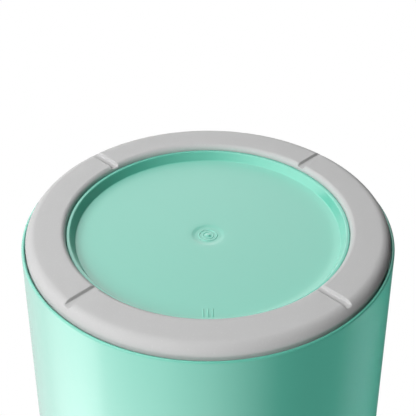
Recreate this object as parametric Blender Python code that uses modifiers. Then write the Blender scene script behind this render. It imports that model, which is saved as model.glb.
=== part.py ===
"""Disinfectant jar with a lift-out tray, in metres, +Z up, standing on its foot ring at Z = 0.

The jar is a moulded cup whose underside carries a soft foot ring in an annular channel. The lid
is a cap and a plug with a gasket between them and the mouth of the jar. A rod slides through a
bush in the lid: a knob on top lifts it, and a perforated tray at its foot brings the tools out.
"""

import math

import bmesh
import bpy
from mathutils import Matrix

# ---------------------------------------------------------------- driving dimensions
BODY_HEIGHT = 0.205         # from the standing surface to the mouth of the jar
BASE_RADIUS = 0.05605       # outside of the wall, at the lower edge of its skirt
DRAFT = math.radians(1.5)   # the wall leans out by this much, so that the moulding comes off its core
WALL = 0.0022
FLOOR = 0.0024
FILL_STEP = 0.0004          # the wall is this much thicker below the fill line, which shows as a ledge
FILL_SHARE = 0.80           # height of the fill line, as a share of the body's height
INNER_CORNER = 0.003        # fillet where the inner wall meets the floor
MOUTH_ROUND = 0.0008

SKIRT = 0.0010              # the thin edge of the wall outside the foot ring
FOOT_PROUD = 0.0038         # how far the foot ring stands below the skirt
FOOT_WIDTH = 0.0120
CHANNEL_DEPTH = 0.0035      # how far the foot ring is let into the base
FOOT_OUTER_ROUND = 0.0032
FOOT_INNER_ROUND = 0.0016
GROOVE_WIDTH = 0.0028
GROOVE_DEPTH = 0.00085
GROOVES = 4
RIM = 0.00115               # the thin rib between the foot ring and the recess
RIM_SETBACK = 0.0015        # how far the rib stays above the standing surface
RECESS = 0.0047             # height of the recessed underside above the standing surface, at its edge
RECESS_DOME = 0.0007        # how much higher it is at the centre, so that it can't bulge down
RECESS_FILLET = 0.0008
GATE_RADIUS = 0.0049        # dimple round the moulding gate
GATE_DEPTH = 0.0005
GATE_NUB = 0.0026

GASKET = 0.0012             # thickness of the gasket's flange
GASKET_SLEEVE = 0.0010
GASKET_FINS = 2
PLUG_DEPTH = 0.0108         # how far the plug reaches down into the mouth
PLUG_WALL = 0.0018
PLUG_PLATE = 0.0020
PLUG_BEAD = 0.00045         # snap bead that holds the plug in the cap
LID_HEIGHT = 0.0080         # height of the cap at its shoulder
LID_DOME = 0.0016
LID_SHOULDER = 0.0040
LID_SKIN = 0.0022

ROD_RADIUS = 0.0030
THREAD_RADIUS = 0.0024      # both ends of the rod are turned down for a thread
BUSH_WALL = 0.0029
BUSH_FLANGE = 0.0050        # how far the bush's flange reaches past its body
BUSH_FLANGE_HEIGHT = 0.0016
BUSH_TAIL = 0.0040          # how far the bush stands out below the plug
CLIP_THICKNESS = 0.0008
CLIP_WIDTH = 0.0034
CLIP_MOUTH = 0.0070
WIPER_RADIUS = 0.0008

KNOB_HEIGHT = 0.0260
KNOB_RADIUS = 0.0170
KNOB_WAIST = 0.0078
KNOB_WAIST_HEIGHT = 0.0078
KNOB_EDGE_HEIGHT = 0.0161   # height of the knob's widest place
KNOB_FOOT = 0.0095
GRIP_WALL = 0.0014
INSERT_WALL = 0.0016
INSERT_HEIGHT = 0.0095

TRAY_CLEARANCE = 0.0025     # between the tray and the inner wall at the floor
TRAY_PLATE = 0.0015
TRAY_UPSTAND = 0.0090
TRAY_ROLL = 0.0013          # radius of the rolled edge
TRAY_HOLE = 0.0027
TRAY_RINGS = 3
TRAY_HOLES_A_RING = 6       # the first ring has this many holes, the second twice as many, and so on
TRAY_HOLE_TURN = math.radians(2)   # each ring's start, which keeps hole corners off the facets' edges
TRAY_FEET = 3
TRAY_FOOT_HEIGHT = 0.0024
TRAY_FOOT_RADIUS = 0.0036
TRAY_STUD = 0.0016
NUT_HEIGHT = 0.0026
NUT_ACROSS_FLATS = 0.0080
NUT_CHAMFER = 0.0003
WASHER_HEIGHT = 0.0008
WASHER_RADIUS = 0.0058
BUMPER_HEIGHT = 0.0070
BUMPER_RADIUS = 0.0072

GAP = 0.0003                # between pieces that touch on the real jar
FIT = 0.0001                # between the rod and what runs on it, and in the small hardware
CUT = 0.002                 # how far a cutter reaches past what it cuts

LARGE_SIDES = 48
SMALL_SIDES = 24
HOLE_SIDES = 10
DOME_STEPS = 5
SWELL_STEPS = 6

# ---------------------------------------------------------------- sizes that follow
LEAN = math.tan(DRAFT)
CHANNEL_OUTER = BASE_RADIUS - SKIRT
FOOT_OUTER = CHANNEL_OUTER - GAP
FOOT_INNER = FOOT_OUTER - FOOT_WIDTH
CHANNEL_INNER = FOOT_INNER - GAP
RECESS_RADIUS = CHANNEL_INNER - RIM
CHANNEL_TOP = FOOT_PROUD + CHANNEL_DEPTH
GATE_FLOOR = RECESS + RECESS_DOME
SUMP_FLOOR = GATE_FLOOR + FLOOR
OUTER_FLOOR = CHANNEL_TOP + FLOOR
SUMP_RADIUS = RECESS_RADIUS - FLOOR
FILL_LINE = BODY_HEIGHT * FILL_SHARE

MOUTH_OUTER = BASE_RADIUS + LEAN * (BODY_HEIGHT - FOOT_PROUD)
MOUTH_INNER = MOUTH_OUTER - WALL

GASKET_LOW = BODY_HEIGHT + GAP
LID_LOW = GASKET_LOW + GASKET + GAP
LID_SHOULDER_TOP = LID_LOW + LID_HEIGHT
LID_TOP = LID_SHOULDER_TOP + LID_DOME
LID_RADIUS = MOUTH_OUTER
LID_INNER = LID_RADIUS - LID_SKIN
PLUG_TOP = LID_LOW + PLUG_PLATE
PLUG_LOW = LID_LOW - PLUG_DEPTH - GASKET
GASKET_INNER = MOUTH_INNER - LEAN * PLUG_DEPTH - 3 * GAP - 2 * GASKET_SLEEVE
PLUG_OUTER = GASKET_INNER - GAP

BORE = ROD_RADIUS + FIT
BUSH_RADIUS = BORE + BUSH_WALL
BUSH_HOLE = BUSH_RADIUS + FIT
BUSH_LOW = LID_LOW - BUSH_TAIL
BUSH_TOP = LID_TOP + GAP + BUSH_FLANGE_HEIGHT
CLIP_TOP = LID_LOW - GAP
KNOB_LOW = BUSH_TOP + GAP
KNOB_EDGE = KNOB_LOW + KNOB_EDGE_HEIGHT
CORE_TOP = KNOB_LOW + KNOB_HEIGHT - GRIP_WALL - GAP
CORE_RADIUS = KNOB_RADIUS - GRIP_WALL - GAP

TRAY_LOW = OUTER_FLOOR + 2 * GAP + TRAY_FOOT_HEIGHT + FIT
TRAY_TOP = TRAY_LOW + TRAY_PLATE
SHOULDER = TRAY_TOP + WASHER_HEIGHT + 2 * FIT
ROD_LOW = TRAY_LOW - WASHER_HEIGHT - NUT_HEIGHT - 3 * FIT - GAP
BUMPER_LOW = SHOULDER + FIT


def outer_radius(height):
    """Radius of the outside of the wall at this height."""
    return BASE_RADIUS + LEAN * (height - FOOT_PROUD)


TRAY_RADIUS = outer_radius(OUTER_FLOOR) - WALL - FILL_STEP - TRAY_CLEARANCE


# ---------------------------------------------------------------- materials
def plastic(name, colour, roughness, metallic=0.0):
    material = bpy.data.materials.new(name)
    material.use_nodes = True
    shader = material.node_tree.nodes["Principled BSDF"]
    shader.inputs["Base Color"].default_value = (*colour, 1.0)
    shader.inputs["Roughness"].default_value = roughness
    shader.inputs["Metallic"].default_value = metallic
    material.diffuse_color = (*colour, 1.0)
    return material


# ---------------------------------------------------------------- modelling helpers
def arc(centre_r, centre_z, radius, start, end, steps=4):
    """Points of a round corner in the (radius, height) plane, from one angle in degrees to another."""
    points = []
    for step in range(steps + 1):
        angle = math.radians(start + (end - start) * step / steps)
        points.append((centre_r + radius * math.cos(angle), centre_z + radius * math.sin(angle)))
    return points


def turned(name, profile, material, sides=LARGE_SIDES, collection=None):
    """A solid turned from a profile that runs down its outer side. Ends that are off the axis get joined."""
    mesh = bpy.data.meshes.new(name)
    count = len(profile)
    edges = [(i, i + 1) for i in range(count - 1)]
    if profile[0][0] > 0 or profile[-1][0] > 0:
        edges.append((count - 1, 0))
    mesh.from_pydata([(r, 0.0, z) for r, z in profile], edges, [])
    mesh.materials.append(material)
    obj = bpy.data.objects.new(name, mesh)
    (collection or PARTS).objects.link(obj)
    screw = obj.modifiers.new("Turn", "SCREW")
    screw.axis = "Z"
    screw.angle = math.tau
    screw.steps = sides
    screw.render_steps = sides
    screw.use_merge_vertices = True
    screw.merge_threshold = 0.00002
    screw.use_smooth_shade = True
    return obj


def cylinders(name, places, radius, low, high, sides):
    """One cutter made of upright cylinders at these (x, y) places."""
    mesh = bpy.data.meshes.new(name)
    build = bmesh.new()
    for x, y in places:
        bmesh.ops.create_cone(
            build, cap_ends=True, segments=sides, radius1=radius, radius2=radius,
            depth=high - low, matrix=Matrix.Translation((x, y, (low + high) / 2)),
        )
    build.to_mesh(mesh)
    build.free()
    return as_cutter(bpy.data.objects.new(name, mesh))


def box(name, size, centre, turn=0.0):
    """A cutter block, turned about the vertical axis of the jar."""
    mesh = bpy.data.meshes.new(name)
    build = bmesh.new()
    bmesh.ops.create_cube(build, size=1.0)
    bmesh.ops.scale(build, vec=size, verts=build.verts)
    bmesh.ops.translate(build, vec=centre, verts=build.verts)
    bmesh.ops.rotate(build, matrix=Matrix.Rotation(turn, 3, "Z"), verts=build.verts)
    build.to_mesh(mesh)
    build.free()
    return as_cutter(bpy.data.objects.new(name, mesh))


def as_cutter(obj):
    CUTTERS.objects.link(obj)
    obj.hide_render = True
    obj.display_type = "WIRE"
    return obj


def cut(obj, cutter):
    boolean = obj.modifiers.new("Cut " + cutter.name, "BOOLEAN")
    boolean.operation = "DIFFERENCE"
    boolean.solver = "EXACT"
    boolean.object = cutter


def around(count, radius, start=0.0):
    """Places evenly spaced on a circle."""
    turns = [start + math.tau * i / count for i in range(count)]
    return [(radius * math.cos(turn), radius * math.sin(turn)) for turn in turns]


# ---------------------------------------------------------------- the jar
def make_jar_body():
    below = WALL + FILL_STEP
    wall_low = OUTER_FLOOR + INNER_CORNER
    corner = outer_radius(wall_low) - below - INNER_CORNER
    profile = [
        (0.0, SUMP_FLOOR),
        (SUMP_RADIUS, SUMP_FLOOR),
        (SUMP_RADIUS + FLOOR, OUTER_FLOOR),
        *arc(corner, wall_low, INNER_CORNER, -90, 0, 5),
        (outer_radius(FILL_LINE) - below, FILL_LINE),
        (outer_radius(FILL_LINE) - WALL, FILL_LINE + FILL_STEP),
        *arc(MOUTH_INNER + MOUTH_ROUND, BODY_HEIGHT - MOUTH_ROUND, MOUTH_ROUND, 180, 90, 3),
        *arc(MOUTH_OUTER - MOUTH_ROUND, BODY_HEIGHT - MOUTH_ROUND, MOUTH_ROUND, 90, 0, 3),
        *arc(BASE_RADIUS - SKIRT / 2, FOOT_PROUD + SKIRT / 2, SKIRT / 2, 0, -180, 6),
        (CHANNEL_OUTER, CHANNEL_TOP),
        (CHANNEL_INNER, CHANNEL_TOP),
        *arc(CHANNEL_INNER - RIM / 2, RIM_SETBACK + RIM / 2, RIM / 2, 0, -180, 6),
        *arc(RECESS_RADIUS - RECESS_FILLET, RECESS - RECESS_FILLET, RECESS_FILLET, 0, 90, 4),
        (RECESS_RADIUS / 2, RECESS + RECESS_DOME * 3 / 4),
        (GATE_RADIUS, GATE_FLOOR),
        (GATE_RADIUS - GATE_DEPTH, GATE_FLOOR + GATE_DEPTH),
        (GATE_NUB, GATE_FLOOR + GATE_DEPTH),
        (GATE_NUB - GATE_DEPTH / 2, GATE_FLOOR),
        (0.0, GATE_FLOOR),
    ]
    return turned("jar_body", profile, MINT)


def make_foot_ring():
    profile = [
        (FOOT_INNER, CHANNEL_TOP - GAP),
        (FOOT_OUTER, CHANNEL_TOP - GAP),
        *arc(FOOT_OUTER - FOOT_OUTER_ROUND, FOOT_OUTER_ROUND, FOOT_OUTER_ROUND, 0, -90, 6),
        *arc(FOOT_INNER + FOOT_INNER_ROUND, FOOT_INNER_ROUND, FOOT_INNER_ROUND, -90, -180, 4),
    ]
    ring = turned("foot_ring", profile, FOOT_RUBBER)
    for index in range(GROOVES // 2):
        size = (2 * (FOOT_OUTER + CUT), GROOVE_WIDTH, CUT + GROOVE_DEPTH)
        turn = math.tau * (index + 0.5) / GROOVES
        cut(ring, box(f"groove_cutter_{index + 1}", size, (0, 0, (GROOVE_DEPTH - CUT) / 2), turn))
    return ring


# ---------------------------------------------------------------- the lid
def make_lid_cap():
    top_corner = LID_RADIUS - LID_SHOULDER
    inner_corner = LID_INNER - LID_SHOULDER / 2
    under = LID_SHOULDER_TOP - LID_SKIN
    bead_high = LID_LOW + PLUG_PLATE / 2 + 2 * PLUG_BEAD
    bead_low = LID_LOW + PLUG_PLATE / 2 - 2 * PLUG_BEAD
    dome = []
    for step in range(DOME_STEPS):
        share = step / DOME_STEPS
        radius = BUSH_HOLE + (top_corner - BUSH_HOLE) * share
        dome.append((radius, LID_TOP - LID_DOME * share ** 2))
    profile = [
        *dome,
        *arc(top_corner, LID_SHOULDER_TOP - LID_SHOULDER, LID_SHOULDER, 90, 0, 6),
        (LID_RADIUS, LID_LOW),
        (LID_INNER, LID_LOW),
        (LID_INNER, bead_low),
        (LID_INNER + PLUG_BEAD, bead_low + PLUG_BEAD),
        (LID_INNER + PLUG_BEAD, bead_high - PLUG_BEAD),
        (LID_INNER, bead_high),
        *arc(inner_corner, under - LID_SHOULDER / 2, LID_SHOULDER / 2, 0, 90, 4),
        (BUSH_HOLE, LID_TOP - LID_SKIN),
    ]
    return turned("lid_cap", profile, MINT)


def make_lid_plug():
    middle = LID_LOW + PLUG_PLATE / 2
    edge = LID_INNER - GAP
    toe = GASKET_INNER + GASKET_SLEEVE
    profile = [
        (BUSH_HOLE, PLUG_TOP),
        (edge, PLUG_TOP),
        (edge, middle + PLUG_BEAD),
        (edge + PLUG_BEAD, middle),
        (edge, middle - PLUG_BEAD),
        (edge, LID_LOW),
        (PLUG_OUTER, LID_LOW),
        (PLUG_OUTER, PLUG_LOW + PLUG_WALL),
        (toe, PLUG_LOW + PLUG_WALL - GAP),
        (toe - PLUG_WALL / 3, PLUG_LOW),
        (PLUG_OUTER - PLUG_WALL, PLUG_LOW),
        (PLUG_OUTER - PLUG_WALL, LID_LOW - PLUG_WALL),
        (PLUG_OUTER - 2 * PLUG_WALL, LID_LOW),
        (BUSH_HOLE, LID_LOW),
    ]
    return turned("lid_plug", profile, LINER)


def make_lid_gasket():
    sleeve = GASKET_INNER + GASKET_SLEEVE
    low = PLUG_LOW + PLUG_WALL + GAP
    profile = [
        (GASKET_INNER, GASKET_LOW + GASKET),
        (LID_RADIUS - GAP, GASKET_LOW + GASKET),
        (LID_RADIUS, GASKET_LOW + GASKET / 2),
        (LID_RADIUS - GAP, GASKET_LOW),
        (sleeve, GASKET_LOW),
    ]
    pitch = (BODY_HEIGHT - low) / (GASKET_FINS + 1)
    for fin in range(GASKET_FINS):
        height = BODY_HEIGHT - pitch * (fin + 1)
        tip = outer_radius(height) - WALL - GAP
        profile += [
            (sleeve, height + GASKET / 2),
            (tip, height + GASKET / 4),
            (sleeve, height - GASKET / 2),
        ]
    profile += [(sleeve, low), (GASKET_INNER, low)]
    return turned("lid_gasket", profile, GASKET_RUBBER)


def make_guide_bush():
    clip_groove = BUSH_RADIUS - GAP * 3
    wiper_middle = (LID_LOW + LID_TOP) / 2
    seat = 2 * WIPER_RADIUS + FIT
    profile = [
        (BORE, BUSH_TOP),
        (BUSH_RADIUS + BUSH_FLANGE - BUSH_FLANGE_HEIGHT / 2, BUSH_TOP),
        (BUSH_RADIUS + BUSH_FLANGE, BUSH_TOP - BUSH_FLANGE_HEIGHT / 2),
        (BUSH_RADIUS + BUSH_FLANGE, LID_TOP + GAP),
        (BUSH_RADIUS, LID_TOP + GAP),
        (BUSH_RADIUS, CLIP_TOP + FIT),
        (clip_groove, CLIP_TOP + FIT),
        (clip_groove, CLIP_TOP - CLIP_THICKNESS - FIT),
        (BUSH_RADIUS, CLIP_TOP - CLIP_THICKNESS - FIT),
        (BUSH_RADIUS, BUSH_LOW + GAP),
        (BUSH_RADIUS - GAP, BUSH_LOW),
        (BORE, BUSH_LOW),
        (BORE, wiper_middle - seat / 2),
        (BORE + seat, wiper_middle - seat / 2),
        (BORE + seat, wiper_middle + seat / 2),
        (BORE, wiper_middle + seat / 2),
    ]
    return turned("guide_bush", profile, BUSH_PLASTIC, SMALL_SIDES)


def make_bush_clip():
    inner = BUSH_RADIUS - GAP * 3 + FIT
    outer = inner + CLIP_WIDTH
    low = CLIP_TOP - CLIP_THICKNESS
    profile = [(inner, CLIP_TOP), (outer, CLIP_TOP), (outer, low), (inner, low)]
    clip = turned("bush_clip", profile, STEEL, SMALL_SIDES)
    size = (outer + CUT, CLIP_MOUTH, CLIP_THICKNESS + 2 * CUT)
    cut(clip, box("clip_cutter", size, ((outer + CUT) / 2, 0, CLIP_TOP - CLIP_THICKNESS / 2)))
    return clip


def make_rod_wiper():
    middle = (LID_LOW + LID_TOP) / 2
    ring = arc(BORE + WIPER_RADIUS + FIT / 2, middle, WIPER_RADIUS, 90, -270, 12)
    return turned("rod_wiper", ring[:-1], GASKET_RUBBER, SMALL_SIDES)


# ---------------------------------------------------------------- the lift
def make_lift_rod():
    top = KNOB_LOW + INSERT_HEIGHT
    chamfer = ROD_RADIUS - THREAD_RADIUS
    profile = [
        (0.0, top),
        (THREAD_RADIUS, top),
        (THREAD_RADIUS, KNOB_LOW + FIT + chamfer),
        (ROD_RADIUS, KNOB_LOW + FIT),
        (ROD_RADIUS, SHOULDER),
        (THREAD_RADIUS, SHOULDER),
        (THREAD_RADIUS, ROD_LOW + chamfer),
        (THREAD_RADIUS - chamfer, ROD_LOW),
        (0.0, ROD_LOW),
    ]
    return turned("lift_rod", profile, STEEL, SMALL_SIDES)


def crown(radius, top):
    """The domed top of the knob as a quarter of an ellipse, from the axis out to its widest place."""
    points = [(0.0, top)]
    for step in range(1, SWELL_STEPS + 1):
        turn = math.pi / 2 * step / SWELL_STEPS
        points.append((radius * math.sin(turn), KNOB_EDGE + (top - KNOB_EDGE) * math.cos(turn)))
    return points


def make_knob_core():
    pocket = THREAD_RADIUS + FIT + INSERT_WALL + FIT
    pocket_top = KNOB_LOW + INSERT_HEIGHT + 3 * FIT
    waist = KNOB_LOW + KNOB_WAIST_HEIGHT
    swell = []
    for step in range(1, SWELL_STEPS + 1):
        share = (1 + math.cos(math.pi * step / SWELL_STEPS)) / 2
        radius = KNOB_WAIST + (CORE_RADIUS - KNOB_WAIST) * share
        swell.append((radius, KNOB_EDGE + (waist - KNOB_EDGE) * step / SWELL_STEPS))
    profile = [
        *crown(CORE_RADIUS, CORE_TOP),
        *swell,
        (KNOB_FOOT, KNOB_LOW + 3 * GAP),
        (KNOB_FOOT - GAP, KNOB_LOW),
        (pocket, KNOB_LOW),
        (pocket, pocket_top),
        (0.0, pocket_top),
    ]
    return turned("knob_core", profile, MINT, SMALL_SIDES)


def make_knob_grip():
    inside = crown(CORE_RADIUS + GAP, CORE_TOP + GAP)
    profile = [
        *crown(KNOB_RADIUS, KNOB_LOW + KNOB_HEIGHT),
        (KNOB_RADIUS - GRIP_WALL / 3, KNOB_EDGE - GRIP_WALL),
        (CORE_RADIUS + GAP, KNOB_EDGE - GRIP_WALL / 2),
        *reversed(inside),
    ]
    return turned("knob_grip", profile, FOOT_RUBBER, SMALL_SIDES)


def make_knob_insert():
    inner = THREAD_RADIUS + FIT
    outer = inner + INSERT_WALL
    low = KNOB_LOW + 2 * GAP + ROD_RADIUS - THREAD_RADIUS
    high = KNOB_LOW + INSERT_HEIGHT + FIT
    groove = (low + high) / 2
    profile = [
        (inner, high),
        (outer, high),
        (outer, groove + GAP * 2),
        (outer - GAP, groove + GAP),
        (outer - GAP, groove - GAP),
        (outer, groove - GAP * 2),
        (outer, low),
        (inner, low),
    ]
    return turned("knob_insert", profile, BRASS, SMALL_SIDES)


def make_lift_bumper():
    inner = ROD_RADIUS + FIT
    low = BUMPER_LOW
    high = low + BUMPER_HEIGHT
    round_edge = BUMPER_RADIUS / 4
    profile = [
        (inner, high),
        *arc(BUMPER_RADIUS - round_edge, high - round_edge, round_edge, 90, 0, 3),
        *arc(BUMPER_RADIUS - round_edge, low + round_edge, round_edge, 0, -90, 3),
        (inner, low),
    ]
    return turned("lift_bumper", profile, GASKET_RUBBER, SMALL_SIDES)


def make_washer(name, low):
    inner = THREAD_RADIUS + FIT
    high = low + WASHER_HEIGHT
    profile = [(inner, high), (WASHER_RADIUS, high), (WASHER_RADIUS, low), (inner, low)]
    return turned(name, profile, STEEL, SMALL_SIDES)


def make_tray_nut():
    high = TRAY_LOW - WASHER_HEIGHT - 2 * FIT
    low = high - NUT_HEIGHT
    mesh = bpy.data.meshes.new("tray_nut")
    build = bmesh.new()
    corner = NUT_ACROSS_FLATS / math.sqrt(3)
    bmesh.ops.create_cone(
        build, cap_ends=True, segments=6, radius1=corner - NUT_CHAMFER, radius2=corner,
        depth=NUT_HEIGHT, matrix=Matrix.Translation((0, 0, (low + high) / 2)),
    )
    build.to_mesh(mesh)
    build.free()
    mesh.materials.append(STEEL)
    nut = bpy.data.objects.new("tray_nut", mesh)
    PARTS.objects.link(nut)
    cut(nut, cylinders("nut_cutter", [(0, 0)], THREAD_RADIUS + FIT, low - CUT, high + CUT, SMALL_SIDES))
    return nut


def tray_foot_places():
    middle = TRAY_RADIUS - TRAY_FOOT_RADIUS * 2
    return around(TRAY_FEET, middle, math.pi / 2)


def make_basket_tray():
    edge = TRAY_RADIUS - TRAY_ROLL
    roll_height = TRAY_LOW + TRAY_UPSTAND
    profile = [
        (THREAD_RADIUS + FIT, TRAY_TOP),
        (edge - TRAY_PLATE * 2, TRAY_TOP),
        (edge - TRAY_PLATE, TRAY_TOP + TRAY_PLATE),
        (edge - TRAY_PLATE, roll_height),
        *arc(edge, roll_height, TRAY_ROLL, 180, -90, 9)[1:],
        (edge, TRAY_TOP + TRAY_PLATE / 2),
        (edge - TRAY_PLATE * 1.5, TRAY_LOW),
        (THREAD_RADIUS + FIT, TRAY_LOW),
    ]
    tray = turned("basket_tray", profile, STEEL)
    first = WASHER_RADIUS + 2 * TRAY_HOLE
    last = TRAY_RADIUS - TRAY_FOOT_RADIUS * 2 - TRAY_STUD - 2 * TRAY_HOLE
    places = []
    for ring in range(TRAY_RINGS):
        radius = first + (last - first) * ring / (TRAY_RINGS - 1)
        places += around(TRAY_HOLES_A_RING * (ring + 1), radius, TRAY_HOLE_TURN * (ring + 1))
    cut(tray, cylinders("tray_hole_cutter", places, TRAY_HOLE, TRAY_LOW - CUT, TRAY_TOP + CUT, HOLE_SIDES))
    stud_hole = TRAY_STUD + FIT
    studs = cylinders(
        "tray_stud_cutter", tray_foot_places(), stud_hole, TRAY_LOW - CUT, TRAY_TOP + CUT, HOLE_SIDES
    )
    cut(tray, studs)
    return tray


def make_tray_feet():
    head_high = TRAY_LOW - FIT
    head_low = head_high - TRAY_FOOT_HEIGHT
    barb_low = TRAY_TOP + FIT
    barb_high = barb_low + TRAY_STUD
    stud = TRAY_STUD - FIT
    profile = [
        (0.0, barb_high),
        (TRAY_STUD / 2, barb_high),
        (TRAY_STUD * 1.5, barb_low),
        (stud, barb_low),
        (stud, head_high),
        (TRAY_FOOT_RADIUS, head_high),
        *arc(TRAY_FOOT_RADIUS - GAP * 3, head_low + GAP * 3, GAP * 3, 0, -90, 2),
        (0.0, head_low),
    ]
    for index, (x, y) in enumerate(tray_foot_places()):
        foot = turned(f"tray_foot_{index + 1}", profile, GASKET_RUBBER, HOLE_SIDES)
        foot.location = (x, y, 0.0)


# ---------------------------------------------------------------- build
for old in list(bpy.data.objects):
    bpy.data.objects.remove(old, do_unlink=True)

PARTS = bpy.data.collections.new("disinfectant_jar")
CUTTERS = bpy.data.collections.new("cutters")
bpy.context.scene.collection.children.link(PARTS)
bpy.context.scene.collection.children.link(CUTTERS)

MINT = plastic("mint_plastic", (0.30, 0.63, 0.52), 0.28)
LINER = plastic("liner_plastic", (0.80, 0.82, 0.81), 0.40)
BUSH_PLASTIC = plastic("bush_plastic", (0.56, 0.57, 0.57), 0.35)
FOOT_RUBBER = plastic("foot_rubber", (0.55, 0.55, 0.55), 0.60)
GASKET_RUBBER = plastic("gasket_rubber", (0.42, 0.43, 0.43), 0.55)
STEEL = plastic("stainless_steel", (0.62, 0.62, 0.60), 0.25, 1.0)
BRASS = plastic("brass", (0.78, 0.57, 0.27), 0.30, 1.0)

make_jar_body()
make_foot_ring()
make_lid_cap()
make_lid_plug()
make_lid_gasket()
make_guide_bush()
make_bush_clip()
make_rod_wiper()
make_lift_rod()
make_knob_core()
make_knob_grip()
make_knob_insert()
make_lift_bumper()
make_washer("upper_washer", TRAY_TOP + FIT)
make_washer("lower_washer", TRAY_LOW - FIT - WASHER_HEIGHT)
make_tray_nut()
make_basket_tray()
make_tray_feet()
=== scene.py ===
# %% [markdown]
# # A salon disinfectant jar
#
# The jar stands upright with its foot on z = 0, and the camera looks up at it from below, because
# what there is to see is the underside: a soft grey foot ring in a mint-green moulding. Everything
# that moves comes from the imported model. This script gives each piece its fine surface and finish.

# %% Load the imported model
import math

import bmesh
import bpy
import numpy as np
from mathutils import Matrix, Vector


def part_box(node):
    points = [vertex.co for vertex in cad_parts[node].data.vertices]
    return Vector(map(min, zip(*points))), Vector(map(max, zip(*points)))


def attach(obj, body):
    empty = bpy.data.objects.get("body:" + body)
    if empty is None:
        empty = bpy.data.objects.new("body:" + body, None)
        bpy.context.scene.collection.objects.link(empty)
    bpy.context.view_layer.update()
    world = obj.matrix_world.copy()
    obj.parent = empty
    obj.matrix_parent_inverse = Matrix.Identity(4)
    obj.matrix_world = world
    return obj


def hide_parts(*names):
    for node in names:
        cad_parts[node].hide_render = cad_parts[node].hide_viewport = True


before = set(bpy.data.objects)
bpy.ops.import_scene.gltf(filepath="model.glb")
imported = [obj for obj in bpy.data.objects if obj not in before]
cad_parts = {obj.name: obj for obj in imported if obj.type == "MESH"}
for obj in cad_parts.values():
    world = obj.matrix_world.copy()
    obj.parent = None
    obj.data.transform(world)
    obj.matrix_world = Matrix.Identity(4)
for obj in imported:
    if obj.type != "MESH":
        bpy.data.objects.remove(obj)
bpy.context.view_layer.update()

# %% [markdown]
# ## Sizes
#
# Outlines below are pairs of (radius, height) in millimetres, which is how a mould drawing is
# dimensioned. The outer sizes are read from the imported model, so the fine pieces land exactly on it.
# The small sizes are those of the moulding itself.

# %% Driving sizes, in millimetres
MM = 0.001


def corners(node):
    """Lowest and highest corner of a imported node, in millimetres."""
    low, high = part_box(node)
    return low / MM, high / MM


def lowest(node):
    return corners(node)[0].z


def highest(node):
    return corners(node)[1].z


def reach(node):
    """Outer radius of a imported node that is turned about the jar's axis."""
    return corners(node)[1].x


GAP = 0.3
FOOT_OUTER = reach("foot_ring")
MOUTH_OUTER = reach("jar_body")
MOUTH_HEIGHT = highest("jar_body")
SKIRT = 1.0
SKIRT_LOW = 3.8
CHANNEL_OUTER = FOOT_OUTER + GAP
BASE_OUTER = CHANNEL_OUTER + SKIRT
LEAN = (MOUTH_OUTER - BASE_OUTER) / (MOUTH_HEIGHT - SKIRT_LOW)
print(f"foot {2 * FOOT_OUTER:.1f} mm across, mouth {2 * MOUTH_OUTER:.1f} mm across")


# %% [markdown]
# ## Turning a piece
#
# Nearly every piece is round, and its real tool was cut on a lathe, so each is made the same way: a
# plane is merged to one point, the point is extruded along half of the section, and the section is
# spun round the axis. A Screw modifier would give the same shape, but the spin leaves a plain mesh
# that can be edited further. A Weighted Normal modifier then keeps flat faces looking flat beside
# small rounded corners.

# %% Helpers for turned pieces
def deselect():
    bpy.ops.object.select_all(action="DESELECT")


def pick(piece):
    deselect()
    piece.select_set(True)
    bpy.context.view_layer.objects.active = piece


def apply_modifier(piece, kind, **settings):
    """Adds a modifier to a piece and applies it."""
    pick(piece)
    modifier = piece.modifiers.new(kind.title(), kind)
    for name, value in settings.items():
        setattr(modifier, name, value)
    bpy.ops.object.modifier_apply(modifier=modifier.name)


def settle(piece, smooth=32):
    """Smooth shading up to an angle in degrees, with flat faces kept flat."""
    pick(piece)
    bpy.ops.object.shade_smooth_by_angle(angle=math.radians(smooth))
    apply_modifier(piece, "WEIGHTED_NORMAL", keep_sharp=True)


def arc(centre, radius, start, end, steps=8):
    """Points of a round corner, from one angle in degrees to another."""
    points = []
    for step in range(steps + 1):
        angle = math.radians(start + (end - start) * step / steps)
        points.append((centre[0] + radius * math.cos(angle), centre[1] + radius * math.sin(angle)))
    return points


def close_section(piece):
    """Joins the last point of a section to its first."""
    mesh = bmesh.from_edit_mesh(piece.data)
    for vertex in mesh.verts:
        vertex.select = len(vertex.link_edges) == 1
    mesh.select_flush_mode()
    bmesh.update_edit_mesh(piece.data)
    bpy.ops.mesh.edge_face_add()


def lathe(name, outline, steps=128, smooth=32):
    """A solid turned from an outline in millimetres, which closes itself unless it ends on the axis."""
    deselect()
    bpy.ops.mesh.primitive_plane_add(size=MM)
    piece = bpy.context.object
    piece.name = piece.data.name = name
    bpy.ops.object.mode_set(mode="EDIT")
    bpy.ops.mesh.select_all(action="SELECT")
    bpy.ops.mesh.merge(type="CENTER")
    bpy.ops.transform.translate(value=(outline[0][0] * MM, 0, outline[0][1] * MM))
    for here, there in zip(outline, outline[1:]):
        step = ((there[0] - here[0]) * MM, 0, (there[1] - here[1]) * MM)
        bpy.ops.mesh.extrude_region_move(TRANSFORM_OT_translate={"value": step})
    if outline[0][0] > 0 or outline[-1][0] > 0:
        close_section(piece)
    bpy.ops.mesh.select_all(action="SELECT")
    bpy.ops.mesh.spin(steps=steps, angle=math.tau, center=(0, 0, 0), axis=(0, 0, 1))
    bpy.ops.mesh.select_all(action="SELECT")
    bpy.ops.mesh.remove_doubles(threshold=0.002 * MM)
    bpy.ops.mesh.normals_make_consistent(inside=False)
    bpy.ops.object.mode_set(mode="OBJECT")
    settle(piece, smooth)
    print(f"{name}: {len(piece.data.polygons)} faces")
    return piece
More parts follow.
